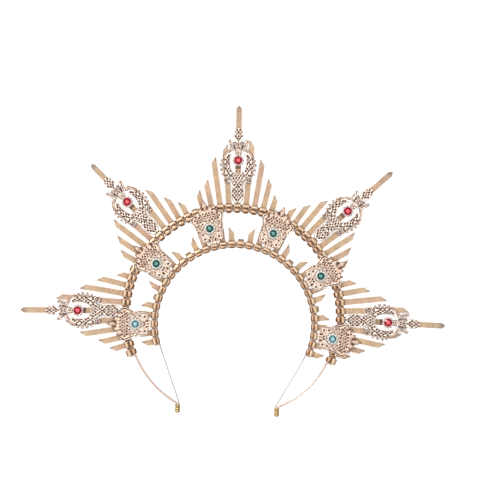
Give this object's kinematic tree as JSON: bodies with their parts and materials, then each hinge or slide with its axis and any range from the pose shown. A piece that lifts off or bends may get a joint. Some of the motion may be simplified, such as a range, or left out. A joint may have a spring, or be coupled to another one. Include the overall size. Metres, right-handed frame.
{
  "type": "halo crown headband",
  "caption": "Halo crown headband: gold cable ties fanned as rays on two wire arches, with filigree spires and plaques that carry round stones.",
  "frame": {"origin": "middle of the part's outline, on the plane that its tie heads lie on", "axes": "+X from the left foot to the right foot, +Y from the feet to the middle ray, +Z from the back to the stones"},
  "size_m": [0.3708, 0.27, 0.0112],
  "materials": {
    "tie_gold_paint": "metallic gold paint, satin",
    "outer_wire_gold": "satin rose gold",
    "inner_wire_steel": "satin",
    "ferrule_brass": "polished",
    "filigree_rose_gold": "polished rose gold plate",
    "setting_silver": "polished",
    "stone_red": "faceted, foil backed",
    "stone_green": "faceted, foil backed",
    "stone_aqua": "faceted, foil backed"
  },
  "bodies": {
    "root": {"outer_wire": "outer_wire_gold", "inner_wire": "inner_wire_steel", "ferrule_left": "ferrule_brass", "ferrule_right": "ferrule_brass", "outer_ties_low_left": "tie_gold_paint", "outer_ties_high_left": "tie_gold_paint", "outer_ties_top": "tie_gold_paint", "outer_ties_high_right": "tie_gold_paint", "outer_ties_low_right": "tie_gold_paint", "spire_tie_low_left": "tie_gold_paint", "spire_tie_high_left": "tie_gold_paint", "spire_tie_top": "tie_gold_paint", "spire_tie_high_right": "tie_gold_paint", "spire_tie_low_right": "tie_gold_paint", "inner_ties_low_left": "tie_gold_paint", "inner_ties_high_left": "tie_gold_paint", "inner_ties_top_left": "tie_gold_paint", "inner_ties_top_right": "tie_gold_paint", "inner_ties_high_right": "tie_gold_paint", "inner_ties_low_right": "tie_gold_paint", "spire_low_left": "filigree_rose_gold", "spire_high_left": "filigree_rose_gold", "spire_top": "filigree_rose_gold", "spire_high_right": "filigree_rose_gold", "spire_low_right": "filigree_rose_gold", "plaque_low_left": "filigree_rose_gold", "plaque_high_left": "filigree_rose_gold", "plaque_top_left": "filigree_rose_gold", "plaque_top_right": "filigree_rose_gold", "plaque_high_right": "filigree_rose_gold", "plaque_low_right": "filigree_rose_gold", "spire_setting_low_left": "setting_silver", "spire_setting_high_left": "setting_silver", "spire_setting_top": "setting_silver", "spire_setting_high_right": "setting_silver", "spire_setting_low_right": "setting_silver", "plaque_setting_low_left": "setting_silver", "plaque_setting_high_left": "setting_silver", "plaque_setting_top_left": "setting_silver", "plaque_setting_top_right": "setting_silver", "plaque_setting_high_right": "setting_silver", "plaque_setting_low_right": "setting_silver", "spire_stone_low_left": "stone_red", "spire_stone_high_left": "stone_red", "spire_stone_top": "stone_red", "spire_stone_high_right": "stone_red", "spire_stone_low_right": "stone_red", "plaque_stone_low_left": "stone_aqua", "plaque_stone_high_left": "stone_green", "plaque_stone_top_left": "stone_green", "plaque_stone_top_right": "stone_green", "plaque_stone_high_right": "stone_green", "plaque_stone_low_right": "stone_aqua"}
  },
  "joints": []
}
